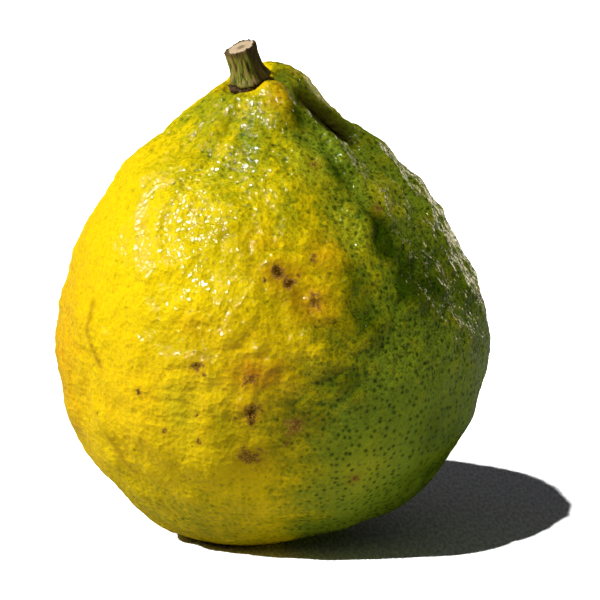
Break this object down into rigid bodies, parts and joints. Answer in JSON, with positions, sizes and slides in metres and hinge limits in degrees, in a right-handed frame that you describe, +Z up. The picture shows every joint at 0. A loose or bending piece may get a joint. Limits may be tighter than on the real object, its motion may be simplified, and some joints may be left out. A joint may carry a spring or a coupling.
{
  "type": "citron",
  "caption": "Whole pear-shaped citron with a furrowed neck, standing on a small flat spot, its dry calyx and cut stem stub at the top.",
  "frame": {"origin": "centre of the flat spot that the fruit stands on, at its blossom end", "axes": "+Z up from the flat spot towards the nose and the stem; +X to the right and -Y to the front, where the deep furrow in the neck lies between +X and -Y"},
  "size_m": [0.0995, 0.0998, 0.117],
  "materials": {
    "rind": "waxy, pitted citrus rind, yellow turning green",
    "dry_calyx": "dry, fibrous, dull brown",
    "cut_stem": "ribbed green-brown bark, pale cut face"
  },
  "bodies": {
    "root": {"fruit": "rind", "calyx": "dry_calyx", "stem": "cut_stem"}
  },
  "joints": []
}
